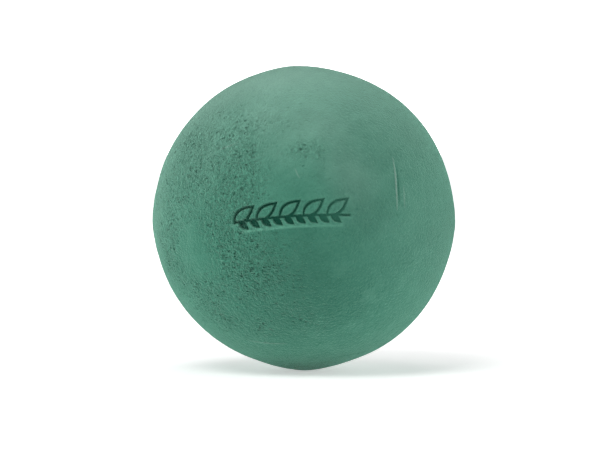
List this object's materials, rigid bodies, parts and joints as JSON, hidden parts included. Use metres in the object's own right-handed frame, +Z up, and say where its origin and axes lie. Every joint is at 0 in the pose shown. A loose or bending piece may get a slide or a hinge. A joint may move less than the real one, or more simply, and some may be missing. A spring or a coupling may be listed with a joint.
{
  "type": "floral foam sphere",
  "caption": "Ball of rigid green floral foam with blunt shaping peaks at its poles and a leaf-spray stamp pressed into the front; stems are pushed into it to hold a flower arrangement.",
  "frame": {"origin": "the lowest point of the ball, where it touches what it stands on", "axes": "+Z up through the ball's centre, -Y out of the stamped front, +X to the right seen from the front"},
  "size_m": [0.121, 0.12, 0.1218],
  "materials": {
    "phenolic_foam": "matte"
  },
  "bodies": {
    "root": {"foam_sphere": "phenolic_foam"}
  },
  "joints": []
}
